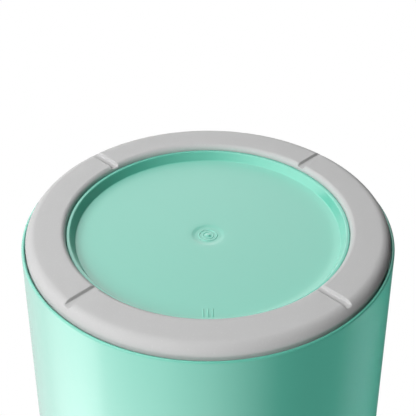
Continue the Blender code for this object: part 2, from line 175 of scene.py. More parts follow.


# %% [markdown]
# ## Each fine piece in place of its node
#
# Each fine piece stands for one imported node, which is hidden. It moves with that node's body, so one call
# says both.

# %% A helper that puts a piece in place of its node
def stands_for(piece, node, body):
    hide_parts(node)
    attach(piece, body)


# %% [markdown]
# ## The jar
#
# The jar is one injection moulding. Its wall leans out by a degree and a half, so that it slides off
# the core, and runs down past the base as a thin skirt. Inside the skirt a channel takes the foot
# ring, then a thin rib and a shallow recess follow. The recess is a little domed, so that the base
# can't bulge down and rock. The plastic enters at its centre, in a dimple that keeps the stub of the
# gate above whatever the jar stands on. It is one outline, from the inside of the floor, over the
# mouth, down the wall and round the base to the gate.

# %% Outline of the jar
WALL = 2.2
FLOOR = 2.4
FOOT_WIDTH = 12.0
CHANNEL_INNER = FOOT_OUTER - FOOT_WIDTH - GAP
CHANNEL_TOP = highest("foot_ring") + GAP
RIM = 1.15
RIM_LOW = lowest("jar_body") + 0.2
RECESS_RADIUS = CHANNEL_INNER - RIM
RIM_OUTER = CHANNEL_INNER + 0.25
RECESS = 4.7
DOME = 0.7
DISH = 0.45          # how far the floor turns down again in the last few millimetres before its edge
DISH_WIDTH = 3.2
FLOOR_EDGE = RECESS_RADIUS - 0.95
RECESS_FILLET = 0.5
MOUTH_ROUND = 0.8
INNER_CORNER = 3.0
FILL_LINE = 164.0
FILL_STEP = 0.4
DIMPLE = 4.9
DIMPLE_DEPTH = 0.22
GATE_RINGS = [(2.75, 0.12), (1.6, 0.08)]     # radius and height of the rings left by the gate bush
GATE_RING_WIDTH = 0.5


def wall_radius(height):
    return BASE_OUTER + LEAN * (height - SKIRT_LOW)


def recess_height(radius):
    turn = max(0, (radius - FLOOR_EDGE) / DISH_WIDTH + 1)
    return RECESS + DOME * (1 - (radius / RECESS_RADIUS) ** 2) - DISH * turn ** 2


def gate_outline():
    """From the edge of the dimple in to the centre: the dimple, its two rings and the stub of the gate."""
    top = recess_height(DIMPLE)
    floor = top + DIMPLE_DEPTH
    points = [(DIMPLE + 0.3, top), (DIMPLE, top + 0.04)]
    points += [(DIMPLE - 0.7, floor - 0.04), (DIMPLE - 1.0, floor)]
    half = GATE_RING_WIDTH / 2
    for radius, height in GATE_RINGS:
        points += [(radius + half, floor), (radius + half / 2, floor - height)]
        points += [(radius - half / 2, floor - height), (radius - half, floor)]
    return points + [(0.75, floor), (0.55, floor - 0.12), (0.0, floor - 0.16)]


def recess_corner():
    """The fillet between the recess's sloping side and its floor."""
    edge = recess_height(FLOOR_EDGE - RECESS_FILLET)
    return arc((FLOOR_EDGE - RECESS_FILLET, edge - RECESS_FILLET), RECESS_FILLET, 25, 76)


def jar_outline():
    mouth_inner = MOUTH_OUTER - WALL
    low = CHANNEL_TOP + FLOOR
    inside = wall_radius(low + INNER_CORNER) - WALL - FILL_STEP - INNER_CORNER
    skirt = SKIRT / 2
    rim_out = 0.35
    rim_in = 0.6
    return [
        (0.0, RECESS + DOME + FLOOR),
        (RECESS_RADIUS - FLOOR, RECESS + DOME + FLOOR),
        (RECESS_RADIUS, low),
        *arc((inside, low + INNER_CORNER), INNER_CORNER, -90, 0),
        (wall_radius(FILL_LINE) - WALL - FILL_STEP, FILL_LINE),
        (wall_radius(FILL_LINE) - WALL, FILL_LINE + FILL_STEP),
        *arc((mouth_inner + MOUTH_ROUND, MOUTH_HEIGHT - MOUTH_ROUND), MOUTH_ROUND, 180, 90),
        *arc((MOUTH_OUTER - MOUTH_ROUND, MOUTH_HEIGHT - MOUTH_ROUND), MOUTH_ROUND, 90, 0),
        *[(wall_radius(height), height) for height in (150, 100, 50, 12, 5)],
        *arc((BASE_OUTER - skirt, SKIRT_LOW + skirt), skirt, 0, -180),
        (CHANNEL_OUTER, CHANNEL_TOP),
        (RIM_OUTER, CHANNEL_TOP),
        *arc((RIM_OUTER - rim_out, RIM_LOW + rim_out), rim_out, 0, -90),
        *arc((RECESS_RADIUS + rim_in, RIM_LOW + rim_in), rim_in, -90, -155),
        *recess_corner(),
        *[(radius, recess_height(radius)) for radius in (39.3, 38.7, 38.1, 37.3, 36, 30, 24, 18, 12, 7)],
        *gate_outline(),
    ]


# %% Turn the jar
jar_shell = lathe("jar_shell", jar_outline(), steps=256)
stands_for(jar_shell, "jar_body", "jar")

# %% [markdown]
# ## The tally mark
#
# Moulders mark each cavity of a tool, so that a fault can be traced to it. Here three short ribs
# stand on the recess near its front edge. One rib is made and bevelled, and its copies
# are moved in edit mode, so that every object stays at the origin. A Boolean joins them to the jar.

# %% Helpers for copies, and the tally ribs
def move(piece, shift):
    """Moves all of a piece's mesh by a vector in millimetres."""
    pick(piece)
    bpy.ops.object.mode_set(mode="EDIT")
    bpy.ops.mesh.select_all(action="SELECT")
    bpy.ops.transform.translate(value=[value * MM for value in shift])
    bpy.ops.object.mode_set(mode="OBJECT")


def copy_of(piece, name, shift=(0, 0, 0)):
    pick(piece)
    bpy.ops.object.duplicate()
    copy = bpy.context.object
    copy.name = copy.data.name = name
    move(copy, shift)
    return copy


def block(name, size, centre, bevel, turn=0.0):
    """A bevelled block in millimetres, turned about the jar's axis by an angle in radians."""
    deselect()
    bpy.ops.mesh.primitive_cube_add(size=MM)
    piece = bpy.context.object
    piece.name = piece.data.name = name
    bpy.ops.object.mode_set(mode="EDIT")
    bpy.ops.transform.resize(value=size)
    bpy.ops.mesh.bevel(offset=bevel * MM, segments=3, affect="EDGES")
    bpy.ops.transform.translate(value=[value * MM for value in centre])
    bpy.ops.transform.rotate(value=-turn, orient_axis="Z", center_override=(0, 0, 0))
    bpy.ops.object.mode_set(mode="OBJECT")
    return piece


def combine(piece, others, operation):
    """Joins the other solids to a piece, or cuts them from it, and removes them."""
    pick(others[0])
    for other in others:
        other.select_set(True)
    if len(others) > 1:
        bpy.ops.object.join()
    tool = bpy.context.object
    apply_modifier(piece, "BOOLEAN", operation=operation, solver="EXACT", object=tool)
    bpy.data.objects.remove(tool)


TALLY_RADIUS = 35.9
TALLY_PITCH = 1.3
TALLY_PROUD = 0.10
tally_height = recess_height(TALLY_RADIUS) - TALLY_PROUD + 0.3
tally = [block("tally_1", (0.45, 3.4, 0.6), (TALLY_PITCH, -TALLY_RADIUS, tally_height), 0.12)]
tally.append(copy_of(tally[0], "tally_2", (-TALLY_PITCH, 0, 0)))
tally.append(copy_of(tally[0], "tally_3", (-2 * TALLY_PITCH, 0, 0)))
combine(jar_shell, tally, "UNION")
settle(jar_shell)
print("jar with its tally mark:", len(jar_shell.data.polygons), "faces")

# %% [markdown]
# ## The foot ring
#
# The ring is a soft elastomer, moulded on its own and pressed into the channel. Its lower face is
# flat, with a wide round edge outside and a narrow one inside, and four shallow grooves cross it, so
# that the jar doesn't stick to a wet worktop. A Boolean would leave long thin faces that shade badly,
# so the grooves are pressed into the turned mesh: near each groove the rows of points are set
# parallel to it and crowded at its sides, and those inside it are raised to its floor.

# %% Turn the foot ring
FOOT_OUTER_ROUND = 3.2
FOOT_INNER_ROUND = 1.6
FOOT_TOP = highest("foot_ring")
FOOT_INNER = FOOT_OUTER - FOOT_WIDTH
MIDDLE = (FOOT_INNER + FOOT_OUTER) / 2
foot_outline = [
    (FOOT_INNER, FOOT_TOP),
    (FOOT_OUTER, FOOT_TOP),
    (FOOT_OUTER, FOOT_OUTER_ROUND + 1),
    *arc((FOOT_OUTER - FOOT_OUTER_ROUND, FOOT_OUTER_ROUND), FOOT_OUTER_ROUND, 0, -90, 14),
    (MIDDLE + 2, 0.0),
    (MIDDLE - 1, 0.0),
    *arc((FOOT_INNER + FOOT_INNER_ROUND, FOOT_INNER_ROUND), FOOT_INNER_ROUND, -90, -180, 10),
    (FOOT_INNER, FOOT_INNER_ROUND + 1),
]
FOOT_STEPS = 1280
foot = lathe("foot_ring_soft", foot_outline, steps=FOOT_STEPS, smooth=45)
stands_for(foot, "foot_ring", "jar")

# %% Press the grooves
GROOVES = 4
GROOVE_HALF = 1.4           # half of a groove's width
GROOVE_DEPTH = 0.85
GROOVE_SIDE = 0.36          # width of a groove's steep side
GROOVE_HOLLOW = 0.12        # how much deeper the floor is at its middle
ROWS = [0.0, 0.9, 2.1, 4.2]         # distances from a groove's middle as turned, in millimetres
PLACES = [0.0, 0.95, 1.6, 4.2]      # and where those rows are set


def press_grooves(ring):
    """Raises the ring's lower surface to the floor of each groove, and returns how many points moved."""
    count = len(ring.data.vertices)
    points = np.empty(count * 3)
    ring.data.vertices.foreach_get("co", points)
    points = points.reshape(count, 3) / MM
    radius = np.hypot(points[:, 0], points[:, 1])
    turn = np.arctan2(points[:, 1], points[:, 0])
    spacing = math.tau / GROOVES
    middle = (np.floor(turn / spacing) + 0.5) * spacing
    offset = (turn - middle) * MIDDLE
    distance = np.abs(offset)
    near = np.clip((8 - distance) / 3.5, 0, 1)
    crowded = np.interp(distance, ROWS, PLACES, right=0) + np.where(distance > ROWS[-1], distance, 0)
    across = np.sign(offset) * crowded
    straight = np.arcsin(np.clip(across / radius, -1, 1))
    turn = middle + offset / MIDDLE * (1 - near) + straight * near
    away = np.abs(radius * np.sin(turn - middle))
    side = np.clip((GROOVE_HALF - away) / GROOVE_SIDE, 0, 1)
    bowl = np.clip(1 - (away / GROOVE_HALF) ** 2, 0, 1)
    groove = GROOVE_DEPTH * side * side * (3 - 2 * side) + GROOVE_HOLLOW * bowl
    points[:, 0] = radius * np.cos(turn)
    points[:, 1] = radius * np.sin(turn)
    points[:, 2] = np.maximum(points[:, 2], groove)
    ring.data.vertices.foreach_set("co", (points * MM).ravel())
    ring.data.update()
    return int((groove > 0).sum())


print("points raised into the grooves:", press_grooves(foot))
settle(foot, smooth=45)

# %% [markdown]
# ## The lid
#
# The lid is a shallow cap in the same plastic, slightly domed so that it sheds disinfectant, with a
# wide round shoulder. Two fine turned lines on its top hide the flow marks that a large flat moulding
# shows. The hole at its centre takes the guide bush.

# %% Lid cap
LID_RADIUS = reach("lid_cap")
LID_LOW = lowest("lid_cap")
LID_TOP = highest("lid_cap")
LID_DOME = 1.6
SHOULDER = 4.0
SHOULDER_RADIUS = LID_RADIUS - SHOULDER
LID_SKIN = 2.2
BUSH_HOLE = 6.1
LID_INNER = LID_RADIUS - WALL
LINE_DEPTH = 0.35


def lid_height(radius):
    return LID_TOP - LID_DOME * (radius / SHOULDER_RADIUS) ** 2


def fine_line(radius, width=1.1, depth=LINE_DEPTH):
    """A shallow round groove turned into the top of the lid."""
    shares = [(-0.5, 0.0), (-0.38, 0.35), (-0.2, 0.85), (0.0, 1.0), (0.2, 0.85), (0.38, 0.35), (0.5, 0.0)]
    return [(radius + share * width, lid_height(radius) - part * depth) for share, part in shares]


lid_outline = [
    (BUSH_HOLE, LID_TOP - 0.5),
    (BUSH_HOLE + 0.5, LID_TOP),
    (13.0, lid_height(13)),
    *fine_line(16.0),
    *[(radius, lid_height(radius)) for radius in (20, 28, 36, 44)],
    *fine_line(50.0),
    *arc((SHOULDER_RADIUS, LID_TOP - LID_DOME - SHOULDER), SHOULDER, 90, 0, 12),
    (LID_RADIUS, LID_LOW + 0.6),
    *arc((LID_RADIUS - 0.5, LID_LOW + 0.5), 0.5, 0, -90, 4),
    (LID_INNER, LID_LOW),
    (LID_INNER, LID_LOW + 4),
    (LID_INNER - 2, LID_TOP - LID_DOME - LID_SKIN),
    (BUSH_HOLE, LID_TOP - LID_SKIN),
]
lid_shell = lathe("lid_shell", lid_outline, steps=224)
stands_for(lid_shell, "lid_cap", "lid")

# %% [markdown]
# ## The liner and its ribs
#
# Under the cap an off-white liner closes it off and carries the seal. It is a plate with a collar that
# goes down into the mouth. Eight ribs stiffen the plate: one is a bevelled block, and the others are
# the same block turned about the axis.

# %% Lid liner
PLUG_LOW = lowest("lid_plug")
PLUG_TOP = highest("lid_plug")
PLUG_EDGE = LID_INNER - GAP
PLUG_OUTER = 55.64
PLUG_WALL = 1.8
TOE = 56.94
liner_outline = [
    (BUSH_HOLE, PLUG_TOP),
    (PLUG_EDGE - 0.3, PLUG_TOP),
    (PLUG_EDGE, PLUG_TOP - 0.3),
    *arc((PLUG_EDGE, PLUG_TOP - 1), 0.44, 80, -80, 6),
    (PLUG_EDGE, LID_LOW + 0.2),
    (PLUG_EDGE - 0.2, LID_LOW),
    (PLUG_OUTER, LID_LOW),
    (PLUG_OUTER, PLUG_LOW + PLUG_WALL),
    (TOE - 0.1, PLUG_LOW + PLUG_WALL - GAP),
    (TOE, PLUG_LOW + PLUG_WALL - GAP - 0.2),
    *arc((TOE - 1.0, PLUG_LOW + 0.5), 0.5, -20, -90, 5),
    *arc((PLUG_OUTER - PLUG_WALL + 0.5, PLUG_LOW + 0.5), 0.5, -90, -180, 5),
    *arc((PLUG_OUTER - PLUG_WALL - 2.5, LID_LOW - 2.5), 2.5, 0, 90, 8),
    (BUSH_HOLE + 3, LID_LOW),
    (BUSH_HOLE, LID_LOW),
]
liner = lathe("lid_liner", liner_outline, steps=192)
RIBS = 8
RIB_HEIGHT = 1.9
RIB_INNER = 12.5
RIB_OUTER = 51.5
rib_size = (RIB_OUTER - RIB_INNER, 1.4, 2 * RIB_HEIGHT)
rib_place = ((RIB_INNER + RIB_OUTER) / 2, 0, LID_LOW + 0.1)
rib_turns = [math.tau * (index + 0.5) / RIBS for index in range(RIBS)]
ribs = [block(f"rib_{index}", rib_size, rib_place, 0.4, turn) for index, turn in enumerate(rib_turns)]
combine(liner, ribs, "UNION")
settle(liner)
stands_for(liner, "lid_plug", "lid")
print("liner with ribs:", len(liner.data.polygons), "faces")

# %% [markdown]
# ## The seal, the bush and the wiper
#
# A grey silicone gasket sits between the cap and the mouth: a flat flange, a sleeve round the collar
# and two thin fins that bend against the wall. The bush in the middle is turned from acetal, with a
# groove for its clip and a seat for the wiper, a small ring that strips disinfectant from the rod.

# %% Gasket
SEAL_LOW = lowest("lid_gasket")
SEAL_TOP = highest("lid_gasket")
SEAL = 1.2
SLEEVE_INNER = PLUG_OUTER + GAP
SLEEVE = SLEEVE_INNER + 1.0
FIN_PITCH = (MOUTH_HEIGHT - SEAL_LOW) / 3


def fin(height):
    """A fin of the gasket: thick at its root, with a round tip just clear of the jar's wall."""
    tip = wall_radius(height) - WALL - GAP
    root = [(SLEEVE + 0.25, height + 0.45), (SLEEVE, height + 0.8)]
    return [*reversed(root), *arc((tip - 0.15, height + 0.15), 0.15, 90, -90, 6), (SLEEVE, height - 0.5)]


gasket_outline = [
    (SLEEVE_INNER, SEAL_TOP),
    *arc((LID_RADIUS - 0.5, SEAL_TOP - SEAL / 2), SEAL / 2, 80, -80, 8),
    (SLEEVE + 0.5, SEAL_TOP - SEAL),
    (SLEEVE, SEAL_TOP - SEAL - 0.5),
    *fin(MOUTH_HEIGHT - FIN_PITCH),
    *fin(MOUTH_HEIGHT - 2 * FIN_PITCH),
    (SLEEVE, SEAL_LOW + 0.2),
    (SLEEVE - 0.2, SEAL_LOW),
    (SLEEVE_INNER, SEAL_LOW),
]
gasket = lathe("gasket_soft", gasket_outline, steps=192, smooth=40)
stands_for(gasket, "lid_gasket", "lid")

# %% Guide bush and rod wiper
BUSH_LOW = lowest("guide_bush")
BUSH_TOP = highest("guide_bush")
BUSH_FLANGE = reach("guide_bush")
BORE = 3.1
BUSH_BODY = 6.0
FLANGE_LOW = LID_TOP + GAP
CLIP_TOP = highest("bush_clip")
CLIP_LOW = lowest("bush_clip")
WIPER_MIDDLE = (lowest("rod_wiper") + highest("rod_wiper")) / 2
bush_outline = [
    (BORE, BUSH_LOW + 0.4),
    (BORE, WIPER_MIDDLE - 0.85),
    (BORE + 1.7, WIPER_MIDDLE - 0.85),
    (BORE + 1.7, WIPER_MIDDLE + 0.85),
    (BORE, WIPER_MIDDLE + 0.85),
    (BORE, BUSH_TOP - 0.5),
    (BORE + 0.5, BUSH_TOP),
    (7.2, BUSH_TOP),
    (7.4, BUSH_TOP - 0.2),
    (7.7, BUSH_TOP - 0.2),
    (7.9, BUSH_TOP),
    *arc((BUSH_FLANGE - 0.8, BUSH_TOP - 0.8), 0.8, 90, 0, 6),
    (BUSH_FLANGE, FLANGE_LOW + 0.2),
    (BUSH_FLANGE - 0.2, FLANGE_LOW),
    (BUSH_BODY, FLANGE_LOW),
    (BUSH_BODY, CLIP_TOP + 0.1),
    (BUSH_BODY - 0.9, CLIP_TOP + 0.1),
    (BUSH_BODY - 0.9, CLIP_LOW - 0.1),
    (BUSH_BODY, CLIP_LOW - 0.1),
    (BUSH_BODY, BUSH_LOW + 0.4),
    (BUSH_BODY - 0.4, BUSH_LOW),
    (BORE + 0.4, BUSH_LOW),
]
bush = lathe("guide_bush_turned", bush_outline, steps=96)
stands_for(bush, "guide_bush", "lid")
wiper = lathe("rod_wiper_ring", arc((BORE + 0.85, WIPER_MIDDLE), 0.8, 0, 345, 23), steps=64)
stands_for(wiper, "rod_wiper", "lid")

# %% [markdown]
# ## The rod
#
# The rod is ground stainless steel, turned down at both ends for a thread. The threads are drawn as
# plain rings: a true helix looks the same at this size and doesn't close on itself.

# %% Lift rod
ROD = 3.0
THREAD = 2.4
ROD_LOW = lowest("lift_rod")
ROD_TOP = highest("lift_rod")
ROD_SHOULDER = lowest("lift_bumper") - 0.1
KNOB_LOW = lowest("knob_core")
PITCH_MM = 0.8


def thread(low, high):
    """The zigzag of a thread from one height to another."""
    turns = int((high - low) / PITCH_MM)
    points = []
    for index in range(turns):
        points += [(THREAD, low + PITCH_MM * (index + 0.2)), (THREAD - 0.4, low + PITCH_MM * (index + 0.7))]
    return points


rod_outline = [
    (0.0, ROD_LOW),
    (THREAD - 0.6, ROD_LOW),
    *thread(ROD_LOW + 0.3, ROD_SHOULDER - 0.5),
    (THREAD - 0.4, ROD_SHOULDER),
    (ROD - 0.2, ROD_SHOULDER),
    (ROD, ROD_SHOULDER + 0.2),
    (ROD, KNOB_LOW - 0.1),
    (THREAD, KNOB_LOW + 0.6),
    *thread(KNOB_LOW + 1.2, ROD_TOP - 0.4),
    (THREAD - 0.6, ROD_TOP),
    (0.0, ROD_TOP),
]
rod = lathe("lift_rod_ground", rod_outline, steps=64)
stands_for(rod, "lift_rod", "basket")

# %% [markdown]
# ## The knob
#
# The knob is a mint core under a soft grey cap, the two materials of the base again. The core flares
# out from a waist, so that a wet glove holds it. The cap is a quarter of an ellipse in section. Its
# lower half carries shallow flutes: its points are moved in and out by a wave round the axis.

# %% Knob core
CORE_RADIUS = reach("knob_core")
CORE_TOP = highest("knob_core")
KNOB_RADIUS = reach("knob_grip")
KNOB_TOP = highest("knob_grip")
KNOB_EDGE = KNOB_LOW + 16.1
KNOB_WAIST = 7.8
KNOB_WAIST_HEIGHT = KNOB_LOW + 7.8
KNOB_FOOT = 9.5
INSERT_OUTER = 4.2


def crown(radius, top, steps=16):
    """The domed top of the knob, from its widest place up to the axis."""
    turns = [math.pi / 2 * step / steps for step in range(steps + 1)]
    return [(radius * math.cos(turn), KNOB_EDGE + (top - KNOB_EDGE) * math.sin(turn)) for turn in turns]


def swell(steps=16):
    """From the waist out to the widest place, as half a wave."""
    points = []
    for step in range(steps):
        share = (1 - math.cos(math.pi * step / steps)) / 2
        height = KNOB_WAIST_HEIGHT + (KNOB_EDGE - KNOB_WAIST_HEIGHT) * step / steps
        points.append((KNOB_WAIST + (CORE_RADIUS - KNOB_WAIST) * share, height))
    return points


core_outline = [
    (0.0, KNOB_LOW + 9.9),
    (INSERT_OUTER, KNOB_LOW + 9.9),
    (INSERT_OUTER, KNOB_LOW),
    (KNOB_FOOT - 0.5, KNOB_LOW),
    *arc((KNOB_FOOT - 0.5, KNOB_LOW + 0.5), 0.5, -70, 0, 5),
    (KNOB_FOOT, KNOB_LOW + 1.2),
    (KNOB_FOOT - 0.5, KNOB_LOW + 2.2),
    (KNOB_FOOT - 1.1, KNOB_LOW + 3.8),
    (KNOB_FOOT - 1.5, KNOB_LOW + 5.6),
    *swell(),
    *crown(CORE_RADIUS, CORE_TOP, 8),
]
knob_core = lathe("knob_core_moulded", core_outline, steps=128)
stands_for(knob_core, "knob_core", "basket")

# %% Knob cap with its flutes
GRIP_WALL = 1.4
FLUTES = 24
FLUTE_DEPTH = 0.45
FLUTE_HIGH = 0.72           # share of the cap's height over which the flutes fade out


def press_flutes(cap):
    """Moves the outer points of the cap in along evenly spaced flutes."""
    for vertex in cap.data.vertices:
        x, y, z = vertex.co / MM
        height = z - KNOB_EDGE
        share = height / (KNOB_TOP - KNOB_EDGE)
        outside = math.hypot(x, y) > CORE_RADIUS * math.sqrt(max(0, 1 - share * share)) + 0.9
        if height < -0.4 or not outside:
            continue
        fade = max(0.0, 1 - share / FLUTE_HIGH)
        wave = (1 + math.cos(FLUTES * math.atan2(y, x))) / 2
        scale = 1 - FLUTE_DEPTH / KNOB_RADIUS * fade * fade * wave ** 3
        vertex.co.x *= scale
        vertex.co.y *= scale


grip_outline = [
    *crown(CORE_RADIUS + GAP, CORE_TOP + GAP, 10)[::-1],
    (CORE_RADIUS + GAP, KNOB_EDGE - 0.7),
    (CORE_RADIUS + GAP + 0.3, KNOB_EDGE - 1.2),
    (KNOB_RADIUS - 0.6, KNOB_EDGE - GRIP_WALL),
    (KNOB_RADIUS - 0.15, KNOB_EDGE - 0.9),
    *crown(KNOB_RADIUS, KNOB_TOP, 20),
]
knob_cap = lathe("knob_cap_soft", grip_outline, steps=384, smooth=60)
press_flutes(knob_cap)
settle(knob_cap, smooth=60)
stands_for(knob_cap, "knob_grip", "basket")

# %% [markdown]
# ## The lift tray and its hardware
#
# The tray is pressed from stainless sheet: a drilled plate, an upstand and an edge that is rolled
# outwards, so that no cut edge meets a glove. Holes are cut by a Boolean with one joined set of
# drills. Everything else on the rod is small: a bumper, two washers, a nut and three soft feet.

# %% Tray
TRAY_LOW = lowest("basket_tray")
TRAY_RADIUS = reach("basket_tray")
PLATE = 1.5
TRAY_TOP = TRAY_LOW + PLATE
ROLL = 1.3
ROLL_HEIGHT = highest("basket_tray") - ROLL
ROLL_RADIUS = TRAY_RADIUS - ROLL
tray_outline = [
    (THREAD + 0.1, TRAY_TOP),
    (ROLL_RADIUS - 4.5, TRAY_TOP),
    *arc((ROLL_RADIUS - 4.5, TRAY_TOP + 3), 3.0, -80, 0, 8),
    (ROLL_RADIUS - PLATE, ROLL_HEIGHT - 1),
    *arc((ROLL_RADIUS, ROLL_HEIGHT), ROLL, 170, -80, 20),
    (ROLL_RADIUS - 0.1, ROLL_HEIGHT - 2),
    *arc((ROLL_RADIUS - 3.6, TRAY_LOW + 3.5), 3.5, 0, -90, 10),
    (THREAD + 0.1, TRAY_LOW),
]
tray = lathe("tray_pressed", tray_outline, steps=192)


def drill(name, radius, place):
    """A round drill through the tray, at a place in millimetres."""
    low, high = TRAY_LOW - 1, TRAY_TOP + 1
    tool = lathe(name, [(0, low), (radius, low), (radius, high), (0, high)], 24)
    move(tool, (*place, 0))
    return tool


def around(count, radius, start=0.0):
    turns = [start + math.tau * index / count for index in range(count)]
    return [(radius * math.cos(turn), radius * math.sin(turn)) for turn in turns]


HOLE = 2.7
FIRST_RING = 11.2
LAST_RING = TRAY_RADIUS - 14.2
places = []
for ring in range(3):
    ring_radius = FIRST_RING + (LAST_RING - FIRST_RING) * ring / 2
    places += around(6 * (ring + 1), ring_radius, math.radians(2 * ring + 2))
drills = [drill("drill", HOLE, places[0])]
for place in places[1:]:
    shift = (place[0] - places[0][0], place[1] - places[0][1], 0)
    drills.append(copy_of(drills[0], "drill_copy", shift))
combine(tray, drills, "DIFFERENCE")
settle(tray)
stands_for(tray, "basket_tray", "basket")
print("tray with", len(places), "holes:", len(tray.data.polygons), "faces")

# %% Washers, nut and bumper
WASHER = 5.8


def washer(name, node):
    low, high = lowest(node), highest(node)
    edge = 0.15
    outline = [(THREAD + 0.1, low), (WASHER - edge, low), (WASHER, low + edge), (WASHER, high - edge)]
    piece = lathe(name, [*outline, (WASHER - edge, high), (THREAD + 0.1, high)], steps=64)
    stands_for(piece, node, "basket")


washer("washer_above", "upper_washer")
washer("washer_below", "lower_washer")

bumper_low, bumper_high = lowest("lift_bumper"), highest("lift_bumper")
BUMPER = reach("lift_bumper")
bumper_middle = (bumper_low + bumper_high) / 2
bumper_outline = [
    (ROD + 0.1, bumper_low),
    *arc((BUMPER - 1.4, bumper_low + 1.4), 1.4, -90, 20, 7),
    (BUMPER - 0.9, bumper_middle),
    *arc((BUMPER - 1.4, bumper_high - 1.4), 1.4, -20, 90, 7),
    (ROD + 0.1, bumper_high),
]
bumper = lathe("bumper_soft", bumper_outline, steps=96, smooth=50)
stands_for(bumper, "lift_bumper", "basket")

# %% [markdown]
# A hexagon nut is a six-sided bar whose corners were turned off on the lathe. So a six-sided
# cylinder is crossed with a turned blank that is chamfered at both ends.

# %% Nut
ACROSS_FLATS = 8.0
nut_low, nut_high = lowest("tray_nut"), highest("tray_nut")
corner = ACROSS_FLATS / math.sqrt(3)
nut_outline = [
    (THREAD + 0.1, nut_low + 0.3),
    (THREAD + 0.5, nut_low),
    (ACROSS_FLATS / 2, nut_low),
    (corner + 0.2, nut_low + 0.45),
    (corner + 0.2, nut_high - 0.45),
    (ACROSS_FLATS / 2, nut_high),
    (THREAD + 0.5, nut_high),
    (THREAD + 0.1, nut_high - 0.3),
]
nut = lathe("nut_hexagon", nut_outline, steps=96)
deselect()
nut_size = {"radius": corner * MM, "depth": (nut_high - nut_low + 2) * MM}
bpy.ops.mesh.primitive_cylinder_add(vertices=6, location=(0, 0, (nut_low + nut_high) / 2 * MM), **nut_size)
bar = bpy.context.object
bpy.ops.object.transform_apply(location=True, rotation=True, scale=True)
combine(nut, [bar], "INTERSECT")
settle(nut, smooth=20)
stands_for(nut, "tray_nut", "basket")

# %% Tray feet
FOOT_PAD = 3.6
STUD = 1.6


def make_tray_foot(name, node):
    """A soft foot: a domed pad under the plate, and a button above it that was pulled through the hole."""
    low, high = corners(node)
    outline = [
        *[(FOOT_PAD * share, low.z + 0.9 * share ** 3) for share in (0.0, 0.3, 0.6, 0.8, 0.93, 1.0)],
        (FOOT_PAD, TRAY_LOW - 0.6),
        (FOOT_PAD - 0.3, TRAY_LOW - 0.1),
        (STUD, TRAY_LOW - 0.1),
        (STUD, TRAY_TOP + 0.1),
        (STUD + 0.45, TRAY_TOP + 0.2),
        (STUD + 0.5, TRAY_TOP + 0.5),
        (STUD + 0.1, high.z - 0.4),
        (STUD - 0.5, high.z),
        (0.0, high.z),
    ]
    piece = lathe(name, outline, steps=48, smooth=40)
    move(piece, ((low.x + high.x) / 2, (low.y + high.y) / 2, 0))
    stands_for(piece, node, "basket")
    return piece


tray_feet = [make_tray_foot(f"tray_pad_{index}", f"tray_foot_{index}") for index in (1, 2, 3)]

# %% [markdown]
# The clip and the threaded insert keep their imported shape, which is a set of loose flat triangles.
# Two live modifiers give them softened edges: the triangles are welded, then the sharp edges are
# bevelled.

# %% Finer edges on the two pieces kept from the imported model
def soften_edges(node, width):
    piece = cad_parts[node]
    weld = piece.modifiers.new("Weld", "WELD")
    weld.merge_threshold = 0.01 * MM
    bevel = piece.modifiers.new("Bevel", "BEVEL")
    bevel.width = width * MM
    bevel.segments = 2
    bevel.limit_method = "ANGLE"
    bevel.angle_limit = math.radians(40)
    return piece


clip = soften_edges("bush_clip", 0.12)
insert = soften_edges("knob_insert", 0.10)

# %% [markdown]
# ## Finishes
#
# A finish is a graph of shader nodes. Written as nodes alone it is hard to read, so one small class
# wraps an output socket and turns arithmetic into Math nodes, and one method adds any other node.

# %% Node graph helpers
class Value:
    """An output socket. Arithmetic on it adds Math nodes, so a mask reads like a formula."""

    def __init__(self, graph, socket):
        self.graph = graph
        self.socket = socket

    def math(self, operation, other):
        return self.graph.add("ShaderNodeMath", {"operation": operation}, (self, other))

    def reflected(self, operation, other):
        return self.graph.add("ShaderNodeMath", {"operation": operation}, (other, self))

    def __add__(self, other):
        return self.math("ADD", other)

    def __sub__(self, other):
        return self.math("SUBTRACT", other)

    def __mul__(self, other):
        return self.math("MULTIPLY", other)

    def __truediv__(self, other):
        return self.math("DIVIDE", other)

    def __radd__(self, other):
        return self.reflected("ADD", other)

    def __rsub__(self, other):
        return self.reflected("SUBTRACT", other)

    def __rmul__(self, other):
        return self.reflected("MULTIPLY", other)


